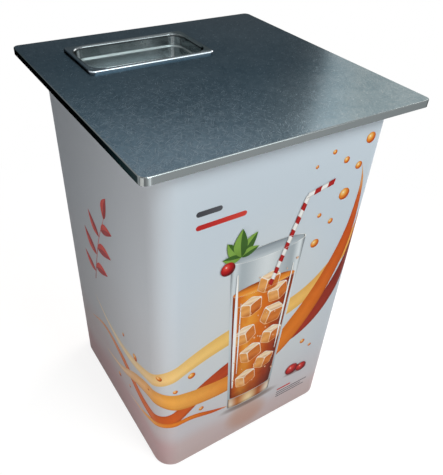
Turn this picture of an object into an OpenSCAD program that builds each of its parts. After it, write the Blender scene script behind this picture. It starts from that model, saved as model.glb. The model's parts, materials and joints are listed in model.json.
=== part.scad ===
// Ice well bar table: a square standing bar table with a folded stainless top,
// a drop-in ice pan, a rolled graphic panel and a storage cabinet behind a rear door.
// Origin: middle of the footprint, on the floor. +Z up, -Y is the front, +Y is the server's side.

/* [Worktop] */
// Height of the worktop surface above the floor
table_h = 1050; // [900:1:1200]
// Width of the worktop, left to right
top_w = 700; // [660:1:900]
// Depth of the worktop, front to back
top_d = 700; // [660:1:900]
// Corner radius of the worktop, seen from above
top_r = 15; // [8:1:30]
// Thickness of the stainless sheet
skin_t = 1.2; // [0.8:0.1:1.5]
// Outside radius of the fold along the top edge
fold_r = 2; // [1.8:0.1:3]
// Thickness of the board inside the worktop
core_t = 15; // [12:1:22]
// How far the folded edge hangs below the board
skirt_drop = 0.3; // [0:0.1:1]

/* [Ice pan] */
// Length of the pan over its rim
pan_l = 325; // [300:1:340]
// Width of the pan over its rim
pan_w = 176; // [162:1:190]
// Height of the pan from the top of its rim to its underside
pan_h = 65; // [55:1:100]
// Thickness of the pressed sheet
pan_t = 0.8; // [0.6:0.1:1]
// Height of the rim above the worktop
rim_h = 6; // [4:0.5:8]
// Radius that rolls the outer edge of the rim down
bead_r = 2.4; // [1.6:0.1:3]
// Width of the flat rim, from its outer edge to the basin
flange_w = 13; // [11:0.5:15]
// Radius from the flat rim down into the basin
lip_r = 4; // [2:0.5:6]
// Corner radius of the rim, seen from above
rim_r = 12; // [8:1:20]
// Corner radius of the basin, seen from above
basin_r = 36; // [32:1:40]
// Height of the upper collar, from the rim to the stacking step
collar_h = 27; // [20:1:30]
// How far the stacking step draws the wall in
step_in = 3; // [2:0.5:4]
// Height of the stacking step
step_h = 5; // [3:0.5:7]
// Lean of the walls from upright, in degrees
wall_lean = 2.5; // [1:0.5:4]
// Radius between the walls and the floor of the basin
floor_r = 10; // [6:1:14]
// Distance from the left edge of the worktop to the rim
pan_from_left = 98; // [90:1:200]
// Gap between the wall of the pan and the rear rail of the top frame
pan_rail_gap = 4; // [2:1:60]
// Gap round the basin in its cut-out
cutout_gap = 3; // [1.5:0.5:4]

/* [Body] */
// How far the worktop overhangs the body
overhang = 46; // [30:1:60]
// Thickness of the graphic panel
panel_t = 3; // [2:0.5:5]
// Outside corner radius of the body
body_r = 55; // [46:1:62]
// Width of the rear face on each side of the doorway
return_w = 94; // [85:1:140]
// Thickness of the base board
base_t = 18; // [15:1:22]
// Thickness of the top frame
frame_t = 18; // [15:1:22]
// Width of the top frame's rails
rail_w = 40; // [38:1:50]
// Corner radius of the opening in the top frame
frame_open_r = 48; // [44:1:56]
// Slip fit between the boards and the panel round them
board_fit = 0.3; // [0.1:0.1:0.5]

/* [Posts and shelf] */
// Outside diameter of the corner posts
post_d = 32; // [28:1:34]
// Wall thickness of the corner posts
post_wall = 1.5; // [1:0.1:3]
// Gap between the collars on the posts and the battens beside the doorway
post_gap = 4; // [2:1:12]
// Length of the threaded plug in each end of a post
plug_l = 25; // [20:1:35]
// Thickness of the plug's flange, between the tube and the board
plug_flange = 2; // [1.5:0.5:4]
// Height of the shelf's upper face above the floor
shelf_z = 500; // [250:1:550]
// Thickness of the shelf
shelf_t = 15; // [12:1:18]
// Gap between the shelf and the panel round it
shelf_gap = 1.5; // [1:0.5:3]
// Outside diameter of the collars that carry the shelf
collar_d = 44; // [40:1:50]
// Height of the collars that carry the shelf
shelf_collar_h = 14; // [10:1:20]

/* [Rear door] */
// Thickness of the door
door_t = 12; // [10:1:14]
// Gap between the door and the sides of the doorway
door_gap = 2; // [1.5:0.5:3]
// Gap above and below the door
door_end_gap = 5; // [3:0.5:8]
// Gap between a batten and the start of the panel's bend
stile_gap = 3; // [1:0.5:8]
// Thickness of the upright battens beside the doorway
stile_t = 15; // [14:1:16]
// Height of a hinge
hinge_h = 60; // [50:1:80]
// Width of a hinge leaf from the pin to its edge
leaf_w = 25; // [20:1:26]
// Thickness of a hinge leaf
leaf_t = 1.5; // [1:0.1:2]
// Radius of the hinge knuckles
knuckle_r = 3.5; // [3.2:0.1:4]
// Radius of the hinge pins
hinge_pin_r = 1.6; // [1.2:0.1:2]
// Distance from each end of the door to the middle of its hinge
hinge_in = 170; // [80:1:300]
// Height of the latch above the floor
latch_z = 600; // [540:1:680]
// Distance from the door's free edge to the latch
latch_in = 22; // [20:1:25]
// Diameter of the latch's knob
knob_d = 26; // [22:1:30]
// Length of the knob, from the housing outwards
knob_l = 15; // [12:1:22]
// Length of the cam, from the latch's axis to its tip
cam_l = 36; // [34:1:38]

/* [Feet and fasteners] */
// Diameter of the glide feet
foot_d = 28; // [22:1:34]
// Height of the glide feet
foot_h = 4; // [3:0.5:8]
// Distance from the body's side face to the middle of a foot
foot_in = 34; // [30:1:36]
// Distance from the middle of a post to the middle of its foot, front to back
foot_from_post = 50; // [44:1:70]
// Diameter of the bolts that hold the posts
bolt_d = 8; // [6:1:8]
// Shank diameter of the wood screws
screw_d = 4; // [3:0.5:4.5]
// Clearance round a screw, bolt or plug in its hole
hole_fit = 0.1; // [0.05:0.05:0.2]
// Clearance round a hinge pin or the latch's spindle
pin_fit = 0.05; // [0.02:0.01:0.1]
// Working clearance between a moving piece and what it passes
run_gap = 0.3; // [0.2:0.1:0.5]

/* [Hidden] */
$fn = 48;
corner_steps = 9;

body_w = top_w - 2 * overhang;
body_d = top_d - 2 * overhang;
body_x = body_w / 2;
body_y = body_d / 2;
inner_x = body_x - panel_t;
inner_y = body_y - panel_t;
inner_r = body_r - panel_t;
body_top = table_h - skin_t - core_t;
doorway_w = body_w - 2 * return_w;

base_z = foot_h;
base_top = base_z + base_t;
frame_z = body_top - frame_t;
post_in = panel_t + stile_t + post_gap + collar_d / 2;
post_x = body_x - post_in;
post_y = body_y - post_in;
post_r = post_d / 2;
post_len = frame_z - base_top - 2 * plug_flange;
shelf_bottom = shelf_z - shelf_t;

wall_in = flange_w - pan_t;
rail_inner_y = inner_y - board_fit - rail_w;
pan_x = -top_w / 2 + pan_from_left + pan_l / 2;
pan_y = rail_inner_y - pan_rail_gap + wall_in - pan_w / 2;
rim_top = table_h + rim_h;
cut_l = pan_l - 2 * wall_in + 2 * cutout_gap;
cut_w = pan_w - 2 * wall_in + 2 * cutout_gap;
cut_r = basin_r + pan_t + cutout_gap;

door_w = doorway_w - 2 * door_gap;
door_z = base_z + door_end_gap;
door_h = body_top - door_end_gap - door_z;
door_in_y = body_y - door_t;
rear_edge = door_in_y - run_gap;
hinge_x = doorway_w / 2 - door_gap / 2;
hinge_y = body_y + knuckle_r + run_gap;
stile_x = doorway_w / 2;
stile_w = return_w - body_r - stile_gap;
stile_y = inner_y - stile_t;
latch_x = -door_w / 2 + latch_in;
barrel_d = 16;
spindle_d = 8;
drive_w = 0.7 * spindle_d;
cam_t = 2;
cam_w = 13;
nut_t = 4;
cam_gap = 1.2;
cam_y = stile_y - cam_t - cam_gap;
housing_flange_t = 2;
latch_screw_l = 9;
latch_screw_head_h = 2.5;
shelf_rear = cam_y - latch_screw_head_h - shelf_gap;
barrel_in = body_y - cam_y - cam_t - run_gap;

bolt_head_d = 1.625 * bolt_d / cos(30);
bolt_head_h = 0.6 * bolt_d;
washer_d = 2.4 * bolt_d;
washer_t = 1.2;
head_sink = 0.4;
counterbore_h = bolt_head_h + washer_t + head_sink;
bolt_grip = base_t - counterbore_h;
bolt_bite = 16;
screw_head_d = 2 * screw_d;
screw_head_h = 0.55 * screw_d;
top_screw_bite = 10;
stile_screw_bite = 20;
panel_screw_bite = 11;
hinge_screw_bite = 9;
top_screw_l = frame_t + top_screw_bite;
stile_screw_l = base_t + stile_screw_bite;
panel_screw_l = panel_t + panel_screw_bite;
hinge_screw_l = leaf_t + hinge_screw_bite;
rail_mid = inner_x - board_fit - rail_w / 2;
rail_mid_y = rail_inner_y + rail_w / 2;
rear_rail_mid = (rear_edge + rail_inner_y) / 2;
rail_screw_at = 150;
panel_screw_count = 5;
panel_screw_end = 60;
panel_screw_edge = 6;
panel_screw_x = stile_x + stile_w - panel_screw_edge;

foot_x = body_x - foot_in;
foot_y = post_y - foot_from_post;
foot_web = 0.4;
foot_recess = foot_h - screw_head_h - foot_web;
foot_screw_bite = 13;

STEEL = [0.62, 0.65, 0.67];
BRIGHT = [0.74, 0.76, 0.77];
ZINC = [0.66, 0.67, 0.66];
ALUMINIUM = [0.72, 0.73, 0.74];
PRINT = [0.93, 0.93, 0.93];
WHITE_BOARD = [0.9, 0.9, 0.88];
PLYWOOD = [0.76, 0.62, 0.43];
PINE = [0.82, 0.68, 0.48];
NYLON = [0.08, 0.08, 0.09];

// Points of a rounded rectangle, anticlockwise from its right side, at height z
function outline(w, d, r, z, c = [0, 0]) = [
    for (k = [0:3])
        let (sx = k == 0 || k == 3 ? 1 : -1, sy = k < 2 ? 1 : -1)
        for (i = [0:corner_steps])
            let (a = 90 * (k + i / corner_steps))
            [c.x + sx * (w / 2 - r) + r * cos(a), c.y + sy * (d / 2 - r) + r * sin(a), z]
];

// Points of an arc in a wall's profile, each as [distance in from the rim, height]
function arc(c, r, a0, a1, n) = [
    for (i = [0:n]) let (a = a0 + (a1 - a0) * i / n) [c.x + r * cos(a), c.y + r * sin(a)]
];

// A solid through a list of outlines: capped at both ends, or closed into a loop
module loft(rings, loop = false) {
    n = len(rings[0]);
    m = len(rings);
    spans = loop ? m : m - 1;
    sides = [
        for (i = [0:spans - 1]) for (j = [0:n - 1])
            let (a = i * n, b = ((i + 1) % m) * n, k = (j + 1) % n)
            each [[a + j, b + j, b + k], [a + j, b + k, a + k]]
    ];
    caps = loop ? [] : [[for (j = [0:n - 1]) j], [for (j = [n - 1:-1:0]) (m - 1) * n + j]];
    polyhedron(points = [for (ring = rings) each ring], faces = concat(sides, caps), convexity = 6);
}

module rounded_2d(w, d, r) {
    square([w - 2 * r, d], center = true);
    square([w, d - 2 * r], center = true);
    for (sx = [-1, 1], sy = [-1, 1])
        translate([sx * (w / 2 - r), sy * (d / 2 - r)]) circle(r);
}

module hole(d, h) {
    translate([0, 0, -h]) cylinder(h = 2 * h, d = d);
}

module at_posts() {
    for (sx = [-1, 1], sy = [-1, 1])
        translate([sx * post_x, sy * post_y, 0]) children();
}

// Screw with a countersunk head: head face at the origin, shank along -Z
module countersunk_screw(length) {
    difference() {
        union() {
            translate([0, 0, -screw_head_h])
                cylinder(h = screw_head_h, d1 = screw_d, d2 = screw_head_d);
            translate([0, 0, -length + screw_d]) cylinder(h = length - screw_d, d = screw_d);
            translate([0, 0, -length]) cylinder(h = screw_d, d1 = 0.2, d2 = screw_d);
        }
        cross_recess();
    }
}

// Screw with a low domed head that stands on the surface, shank along -Z
module button_screw(length) {
    head_r = screw_head_d / 2;
    head_h = 0.6 * screw_d;
    dome_r = (head_r * head_r + head_h * head_h) / (2 * head_h);
    difference() {
        union() {
            intersection() {
                translate([0, 0, head_h - dome_r]) sphere(dome_r);
                cylinder(h = head_h, r = head_r);
            }
            translate([0, 0, -length + screw_d]) cylinder(h = length - screw_d + 0.2, d = screw_d);
            translate([0, 0, -length]) cylinder(h = screw_d, d1 = 0.2, d2 = screw_d);
        }
        translate([0, 0, head_h]) cross_recess();
    }
}

module cross_recess() {
    arm = 1.1 * screw_d;
    slot = 0.22 * screw_d;
    for (a = [0, 90])
        rotate([0, 0, a]) translate([-arm / 2, -slot / 2, -0.3 * screw_d]) cube([arm, slot, screw_d]);
}

// Room for a countersunk screw, cut slightly larger all round
module screw_room(length) {
    grow = 2 * hole_fit;
    translate([0, 0, -screw_head_h])
        cylinder(h = screw_head_h + 0.01, d1 = screw_d + grow, d2 = screw_head_d + grow);
    translate([0, 0, -length - hole_fit]) cylinder(h = length + hole_fit, d = screw_d + grow);
}

// Folded sheet: flat top with the cut-out, rolled edge and turned-down skirt
module worktop_skin() {
    edge = function(s, z, drop) outline(top_w - 2 * s, top_d - 2 * s, top_r - s, table_h - z + drop);
    fold_in_r = fold_r - skin_t;
    skirt_h = skin_t + core_t + skirt_drop;
    outer = [for (p = arc([fold_r, -fold_r], fold_r, 180, 90, 5)) edge(p.x, 0, p.y)];
    inner = [for (p = arc([fold_r, -fold_r], fold_in_r, 90, 180, 3)) edge(p.x, 0, p.y)];
    cut = function(z) outline(cut_l, cut_w, cut_r, z, [pan_x, pan_y]);
    color(STEEL)
        loft(concat(
            [edge(0, skirt_h, 0)], outer,
            [cut(table_h), cut(table_h - skin_t)],
            inner, [edge(skin_t, skirt_h, 0)]
        ), loop = true);
}

module worktop_core() {
    color(WHITE_BOARD) difference() {
        translate([0, 0, body_top])
            linear_extrude(core_t) rounded_2d(top_w - 2 * fold_r, top_d - 2 * fold_r, top_r - fold_r);
        translate([pan_x, pan_y, body_top - 1])
            linear_extrude(core_t + 2) rounded_2d(cut_l, cut_w, cut_r);
        at_top_screws() screw_room(top_screw_l);
    }
}

// Pressed pan, as one sheet: basin floor, wall, stacking step, lip, flat rim and rolled edge
module ice_pan() {
    depth = pan_h - pan_t;
    step_top = -collar_h;
    step_low = step_top - step_h;
    lean = tan(wall_lean);
    s_collar = flange_w + (collar_h - lip_r) * lean;
    s_step = s_collar + step_in;
    wall_end = -depth + floor_r;
    s_wall = s_step + (step_low - wall_end) * lean;
    // Wall from the floor up to the lip, moved out by t for the sheet's other face
    wall = function(t) concat(
        arc([s_wall + floor_r, wall_end], floor_r + t, 270, 180, 5),
        [[s_step - t, step_low]],
        [for (u = [0.25:0.25:0.75]) [s_step - t - step_in * (1 - cos(180 * u)) / 2, step_low + step_h * u]],
        [[s_collar - t, step_top]],
        arc([flange_w - lip_r, -lip_r], lip_r - t, 0, 90, 4)
    );
    rim = function(t) concat(
        arc([bead_r, -bead_r], bead_r - t, 90, 180, 4),
        [[t, -rim_h]]
    );
    basin_ring = function(p) outline(pan_l - 2 * p.x, pan_w - 2 * p.x, basin_r + flange_w - p.x,
        rim_top + p.y, [pan_x, pan_y]);
    rim_ring = function(p) outline(pan_l - 2 * p.x, pan_w - 2 * p.x, rim_r - p.x,
        rim_top + p.y, [pan_x, pan_y]);
    inside = concat([for (p = wall(0)) basin_ring(p)], [for (p = rim(0)) rim_ring(p)]);
    outside = concat([for (p = wall(pan_t)) basin_ring(p)], [for (p = rim(pan_t)) rim_ring(p)]);
    color(BRIGHT)
        loft(concat(inside, [for (i = [len(outside) - 1:-1:0]) outside[i]]));
}

// One sheet bent round the four corners, with its two ends beside the doorway
module graphic_panel() {
    color(PRINT) difference() {
        translate([0, 0, base_z]) linear_extrude(body_top - base_z) difference() {
            rounded_2d(body_w, body_d, body_r);
            rounded_2d(2 * inner_x, 2 * inner_y, inner_r);
            translate([-doorway_w / 2, 0]) square([doorway_w, body_d]);
        }
        at_panel_screws() hole(screw_d + 2 * hole_fit, 3 * panel_t);
        at_hinge_screws(1) screw_room(hinge_screw_l);
    }
}

// Outline of a board that fills the panel, cut back behind the door
module board_2d() {
    difference() {
        rounded_2d(2 * (inner_x - board_fit), 2 * (inner_y - board_fit), inner_r - board_fit);
        translate([-doorway_w / 2, rear_edge]) square([doorway_w, body_d]);
    }
}

module base_board() {
    color(PLYWOOD) difference() {
        translate([0, 0, base_z]) linear_extrude(base_t) board_2d();
        at_posts() {
            translate([0, 0, base_z]) hole(bolt_d + 2 * hole_fit, 2 * base_t);
            translate([0, 0, base_z]) hole(washer_d + 1, counterbore_h);
        }
        at_feet() translate([0, 0, base_z]) hole(screw_d + 2 * hole_fit, foot_screw_bite + hole_fit);
        at_stile_screws(low = true) screw_room(stile_screw_l);
    }
}

// Ring that closes the top of the body and carries the worktop
module top_frame() {
    color(PLYWOOD) difference() {
        translate([0, 0, frame_z]) linear_extrude(frame_t) difference() {
            board_2d();
            rounded_2d(2 * (inner_x - board_fit - rail_w), 2 * rail_inner_y, frame_open_r);
        }
        at_posts() {
            translate([0, 0, body_top]) hole(bolt_d + 2 * hole_fit, 2 * frame_t);
            translate([0, 0, body_top]) hole(washer_d + 1, counterbore_h);
        }
        at_top_screws() screw_room(top_screw_l);
        at_stile_screws(low = false) screw_room(stile_screw_l);
    }
}

module post(sx, sy) {
    color(ALUMINIUM) translate([sx * post_x, sy * post_y, base_top + plug_flange]) difference() {
        cylinder(h = post_len, d = post_d);
        translate([0, 0, -1]) cylinder(h = post_len + 2, d = post_d - 2 * post_wall);
    }
}

// Threaded plugs with a flange, pressed into both ends of every post
module post_plugs() {
    color(NYLON) at_posts() {
        translate([0, 0, base_top]) post_plug();
        translate([0, 0, frame_z]) mirror([0, 0, 1]) post_plug();
    }
}

// Flanged plug with a plain bore for its bolt: flange on the board, body up the tube
module post_plug() {
    difference() {
        union() {
            cylinder(h = plug_flange, d = post_d);
            cylinder(h = plug_l, d = post_d - 2 * post_wall - 2 * hole_fit);
        }
        translate([0, 0, -1]) cylinder(h = plug_l + 2, d = bolt_d + 2 * hole_fit);
    }
}

// Hex bolts up through the base board and down through the top frame
module post_bolts() {
    color(ZINC) at_posts() {
        translate([0, 0, base_z + counterbore_h - washer_t]) hex_bolt(1);
        translate([0, 0, body_top - counterbore_h + washer_t]) hex_bolt(-1);
    }
}

// Bolt that points up (1) or down (-1), with the origin under its head
module hex_bolt(way) {
    shank = washer_t + bolt_grip + bolt_bite;
    mirror([0, 0, way > 0 ? 0 : 1]) {
        cylinder(h = shank, d = bolt_d);
        translate([0, 0, -bolt_head_h]) cylinder(h = bolt_head_h, d = bolt_head_d, $fn = 6);
    }
}

module bolt_washers() {
    color(ZINC) at_posts()
        for (z = [base_z + counterbore_h - washer_t, body_top - counterbore_h])
            translate([0, 0, z]) difference() {
                cylinder(h = washer_t, d = washer_d);
                translate([0, 0, -1]) cylinder(h = washer_t + 2, d = bolt_d + 2 * hole_fit);
            }
}

// Shelf threaded on the posts, notched round the battens and set back behind the latch
module shelf() {
    notch = board_fit + 1;
    color(WHITE_BOARD) difference() {
        translate([0, 0, shelf_bottom]) linear_extrude(shelf_t) difference() {
            rounded_2d(2 * (inner_x - shelf_gap), 2 * (inner_y - shelf_gap), inner_r - shelf_gap);
            for (sx = [0, 1]) mirror([sx, 0])
                translate([stile_x - notch, stile_y - notch])
                    square([stile_w + 2 * notch, body_d]);
            translate([-doorway_w / 2, shelf_rear]) square([doorway_w, body_d]);
        }
        at_posts() translate([0, 0, shelf_z]) hole(post_d + 2 * run_gap, 2 * shelf_t);
    }
}

module collar(sx, sy) {
    color(NYLON) translate([sx * post_x, sy * post_y, shelf_bottom - shelf_collar_h]) difference() {
        cylinder(h = shelf_collar_h, d = collar_d);
        translate([0, 0, -1]) cylinder(h = shelf_collar_h + 2, d = post_d + 2 * hole_fit);
        collar_screw_place(sx) translate([0, 0, -1]) cylinder(h = collar_d, d = screw_d + 2 * hole_fit);
    }
}

// Children stand on the post's surface and point away from it, into the cabinet
module collar_screw_place(sx) {
    translate([-sx * (post_r + hole_fit), 0, shelf_collar_h / 2]) rotate([0, -sx * 90, 0]) children();
}

module collar_screws() {
    grub_l = (collar_d - post_d) / 2 - hole_fit - 0.5;
    key = 0.5 * screw_d;
    color(ZINC) for (sx = [-1, 1], sy = [-1, 1])
        translate([sx * post_x, sy * post_y, shelf_bottom - shelf_collar_h])
            collar_screw_place(sx) difference() {
                cylinder(h = grub_l, d = screw_d);
                translate([0, 0, grub_l - key]) cylinder(h = screw_d, d = key, $fn = 6);
            }
}

// Upright batten behind the end of the panel: it carries a hinge leaf or takes the latch
module stile(side) {
    color(PINE) difference() {
        translate([side > 0 ? stile_x : -stile_x - stile_w, stile_y, base_top])
            cube([stile_w, stile_t, frame_z - base_top]);
        at_panel_screws() hole(screw_d + 2 * hole_fit, panel_screw_l + hole_fit);
        at_hinge_screws(1) screw_room(hinge_screw_l);
        at_stile_screws(low = true) screw_room(stile_screw_l);
        at_stile_screws(low = false) screw_room(stile_screw_l);
    }
}

module at_top_screws() {
    places = [
        for (s = [-1, 1], t = [-1, 1]) [s * rail_mid, t * rail_screw_at],
        for (t = [-1, 1]) [t * rail_screw_at, -rail_mid_y],
        for (t = [-1, 1]) [t * rail_screw_at, rear_rail_mid]
    ];
    for (p = places) translate([p.x, p.y, frame_z]) rotate([180, 0, 0]) children();
}

module at_stile_screws(low) {
    for (side = [-1, 1])
        translate([side * (stile_x + stile_w / 2), stile_y + stile_t / 2, low ? base_z : body_top])
            rotate([low ? 180 : 0, 0, 0]) children();
}

// Children lie on the panel's rear face and point out of it
module at_panel_screws() {
    reach = body_top - base_z - 2 * panel_screw_end;
    for (side = [-1, 1], i = [0:panel_screw_count - 1])
        translate([side * panel_screw_x, body_y, base_z + panel_screw_end])
            translate([0, 0, reach * i / (panel_screw_count - 1)])
                rotate([-90, 0, 0]) children();
}

module top_screws() { color(ZINC) at_top_screws() countersunk_screw(top_screw_l); }

module stile_screws() {
    color(ZINC) {
        at_stile_screws(low = true) countersunk_screw(stile_screw_l);
        at_stile_screws(low = false) countersunk_screw(stile_screw_l);
    }
}

module panel_screws() { color(ZINC) at_panel_screws() button_screw(panel_screw_l); }

module door_panel() {
    edge_r = 3;
    color(PRINT) difference() {
        translate([0, body_y, door_z + door_h / 2]) rotate([90, 0, 0])
            linear_extrude(door_t) rounded_2d(door_w, door_h, edge_r);
        translate([latch_x, body_y, latch_z]) rotate([-90, 0, 0]) hole(barrel_d + 2 * hole_fit, 2 * door_t);
        at_hinge_screws(-1) screw_room(hinge_screw_l);
    }
}

function hinge_middle(upper) = upper ? door_z + door_h - hinge_in : door_z + hinge_in;

// Places of the screws in every hinge leaf on one side of the pins: 1 frame, -1 door
module at_hinge_screws(side) {
    for (upper = [false, true], i = [-1:1])
        translate([hinge_x + side * (knuckle_r + (leaf_w - knuckle_r) / 2), body_y + leaf_t,
                   hinge_middle(upper) + i * hinge_h / 3])
            rotate([-90, 0, 0]) children();
}

// Leaf with its share of the five knuckles: the frame's leaf has three and the door's has two
module hinge_leaf(side, upper) {
    knuckles = 5;
    step = hinge_h / knuckles;
    first = side > 0 ? 0 : 1;
    z0 = hinge_middle(upper) - hinge_h / 2;
    color(ZINC) difference() {
        union() {
            translate([hinge_x + (side > 0 ? 0 : -leaf_w), body_y, z0]) cube([leaf_w, leaf_t, hinge_h]);
            translate([hinge_x, hinge_y, z0]) knuckle_row(first, knuckles, step, knuckle_r, 0);
            for (i = [first:2:knuckles - 1])
                translate([hinge_x + (side > 0 ? 0 : -knuckle_r), body_y, z0 + i * step])
                    cube([knuckle_r, knuckle_r, step]);
        }
        translate([hinge_x, hinge_y, z0])
            knuckle_row(1 - first, knuckles, step, knuckle_r + run_gap, run_gap);
        translate([hinge_x, hinge_y, z0 - 1]) cylinder(h = hinge_h + 2, r = hinge_pin_r + pin_fit);
        translate([hinge_x + (side > 0 ? -leaf_w : run_gap / 2), body_y - 1, z0 - 1])
            leaf_trim(side);
        at_hinge_screws(side) screw_room(hinge_screw_l);
    }
}

module knuckle_row(first, count, step, r, grow) {
    for (i = [first:2:count - 1])
        translate([0, 0, i * step - grow]) cylinder(h = step + 2 * grow, r = r);
}

// Keeps each leaf on its own side of the pin, clear of the other leaf's flat
module leaf_trim(side) {
    cube([side > 0 ? leaf_w - run_gap / 2 : leaf_w, leaf_t + 1, hinge_h + 2]);
}

module hinge_pin(upper) {
    head_h = 1.5;
    color(ZINC) translate([hinge_x, hinge_y, hinge_middle(upper) - hinge_h / 2]) {
        translate([0, 0, -1]) cylinder(h = hinge_h + 1, r = hinge_pin_r);
        translate([0, 0, hinge_h]) cylinder(h = head_h, r = 0.8 * knuckle_r);
    }
}

module hinge_frame_screws() { color(ZINC) at_hinge_screws(1) countersunk_screw(hinge_screw_l); }

module hinge_door_screws() { color(ZINC) at_hinge_screws(-1) countersunk_screw(hinge_screw_l); }

// Children stand on the door's outer face at the latch and point out of it
module at_latch() {
    translate([latch_x, body_y, latch_z]) rotate([-90, 0, 0]) children();
}

module latch_housing() {
    flange_d = barrel_d + 10;
    color(ZINC) at_latch() difference() {
        union() {
            translate([0, 0, -barrel_in]) cylinder(h = barrel_in, d = barrel_d);
            cylinder(h = housing_flange_t, d = flange_d);
        }
        translate([0, 0, -barrel_in - 1])
            cylinder(h = barrel_in + housing_flange_t + 2, d = spindle_d + 2 * pin_fit);
    }
}

module latch_nut() {
    across = barrel_d + 8;
    color(ZINC) at_latch() translate([0, 0, -door_t - nut_t]) difference() {
        cylinder(h = nut_t, d = across / cos(30), $fn = 6);
        translate([0, 0, -1]) cylinder(h = nut_t + 2, d = barrel_d + 2 * hole_fit);
    }
}

// Round knob with a raised grip bar, on the spindle that carries the cam
module latch_knob() {
    grip_h = 0.6 * knob_l;
    base_h = knob_l - grip_h;
    grip_w = 0.3 * knob_d;
    out = housing_flange_t + run_gap;
    color(NYLON) at_latch() difference() {
        union() {
            translate([0, 0, out]) cylinder(h = base_h, d = knob_d);
            translate([0, 0, out + base_h]) intersection() {
                cylinder(h = grip_h, d1 = knob_d, d2 = 0.9 * knob_d);
                translate([-grip_w / 2, -knob_d / 2, 0]) cube([grip_w, knob_d, grip_h]);
            }
            translate([0, 0, -barrel_in - run_gap]) cylinder(h = out + barrel_in + run_gap, d = spindle_d);
            translate([-drive_w / 2, -drive_w / 2, -barrel_in - run_gap - cam_t])
                cube([drive_w, drive_w, cam_t + 1]);
        }
        translate([0, 0, -barrel_in - run_gap - cam_t - 1])
            cylinder(h = latch_screw_l + 2, d = screw_d + 2 * hole_fit);
    }
}

// Flat cam that hangs down when the latch is open and turns in behind the batten
module latch_cam() {
    color(ZINC) at_latch() translate([0, 0, -barrel_in - run_gap - cam_t]) difference() {
        union() {
            cylinder(h = cam_t, d = cam_w);
            translate([-cam_w / 2, 0, 0]) cube([cam_w, cam_l - cam_w / 2, cam_t]);
            translate([0, cam_l - cam_w / 2, 0]) cylinder(h = cam_t, d = cam_w);
        }
        translate([-drive_w / 2 - hole_fit, -drive_w / 2 - hole_fit, -1])
            cube([drive_w + 2 * hole_fit, drive_w + 2 * hole_fit, cam_t + 2]);
    }
}

module latch_screw() {
    head_d = spindle_d + 3;
    end = -barrel_in - run_gap - cam_t;
    color(ZINC) at_latch() {
        translate([0, 0, end - latch_screw_head_h]) difference() {
            cylinder(h = latch_screw_head_h, d = head_d);
            rotate([180, 0, 0]) cross_recess();
        }
        translate([0, 0, end - 0.2]) cylinder(h = latch_screw_l, d = screw_d);
    }
}

module at_feet() {
    for (sx = [-1, 1], sy = [-1, 1]) translate([sx * foot_x, sy * foot_y, 0]) children();
}

// Glide: a disc with a chamfered tread and a recess for its screw
module foot(sx, sy) {
    tread = 0.35 * foot_h;
    color(NYLON) translate([sx * foot_x, sy * foot_y, 0]) difference() {
        union() {
            cylinder(h = tread, d1 = foot_d - 2 * tread, d2 = foot_d);
            translate([0, 0, tread]) cylinder(h = foot_h - tread, d = foot_d);
        }
        translate([0, 0, foot_recess]) rotate([180, 0, 0]) screw_room(foot_h);
        translate([0, 0, -1]) cylinder(h = 1 + foot_recess, d = screw_head_d + 2 * hole_fit);
        translate([0, 0, 0.5]) cylinder(h = foot_h, d = screw_d + 2 * hole_fit);
    }
}

module foot_screws() {
    length = foot_h - foot_recess + foot_screw_bite;
    color(ZINC) at_feet() translate([0, 0, foot_recess]) rotate([180, 0, 0]) countersunk_screw(length);
}

worktop_skin();
worktop_core();
ice_pan();
graphic_panel();
base_board();
top_frame();
post(-1, -1);  // post_front_left
post(1, -1);  // post_front_right
post(-1, 1);  // post_rear_left
post(1, 1);  // post_rear_right
post_plugs();
post_bolts();
bolt_washers();
shelf();
collar(-1, -1);  // collar_front_left
collar(1, -1);  // collar_front_right
collar(-1, 1);  // collar_rear_left
collar(1, 1);  // collar_rear_right
collar_screws();
stile(-1);  // stile_left
stile(1);  // stile_right
top_screws();
stile_screws();
panel_screws();
door_panel();
hinge_leaf(1, false);  // hinge_frame_leaf_lower
hinge_leaf(-1, false);  // hinge_door_leaf_lower
hinge_pin(false);  // hinge_pin_lower
hinge_leaf(1, true);  // hinge_frame_leaf_upper
hinge_leaf(-1, true);  // hinge_door_leaf_upper
hinge_pin(true);  // hinge_pin_upper
hinge_frame_screws();
hinge_door_screws();
latch_housing();
latch_nut();
latch_knob();
latch_cam();
latch_screw();
foot(-1, -1);  // foot_front_left
foot(1, -1);  // foot_front_right
foot(-1, 1);  // foot_rear_left
foot(1, 1);  // foot_rear_right
foot_screws();
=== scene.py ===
"""Looks of the ice well bar table: finishes, printed film, light and camera."""
import json
from math import cos, hypot, pi, radians, sin, sqrt
import random

import bmesh
import bpy
from mathutils import Matrix, Vector


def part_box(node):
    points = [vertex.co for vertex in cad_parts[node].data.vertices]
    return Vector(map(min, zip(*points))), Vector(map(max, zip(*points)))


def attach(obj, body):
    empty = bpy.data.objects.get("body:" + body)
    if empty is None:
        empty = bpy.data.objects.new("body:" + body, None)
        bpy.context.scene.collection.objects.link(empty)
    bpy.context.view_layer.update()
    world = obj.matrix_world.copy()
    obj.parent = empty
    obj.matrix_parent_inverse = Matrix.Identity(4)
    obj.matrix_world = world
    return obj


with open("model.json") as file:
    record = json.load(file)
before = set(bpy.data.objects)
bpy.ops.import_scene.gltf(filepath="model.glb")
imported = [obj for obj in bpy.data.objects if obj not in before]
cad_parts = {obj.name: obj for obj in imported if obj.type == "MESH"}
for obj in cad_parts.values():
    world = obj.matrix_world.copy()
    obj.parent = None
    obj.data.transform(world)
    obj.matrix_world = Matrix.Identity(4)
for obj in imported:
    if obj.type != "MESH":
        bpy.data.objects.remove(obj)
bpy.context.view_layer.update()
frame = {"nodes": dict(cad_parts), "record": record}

# Main sizes, read from the frame, in metres
_, panel_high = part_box("graphic_panel")
_, top_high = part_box("worktop_skin")
pan_low, pan_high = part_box("ice_pan")

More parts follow.
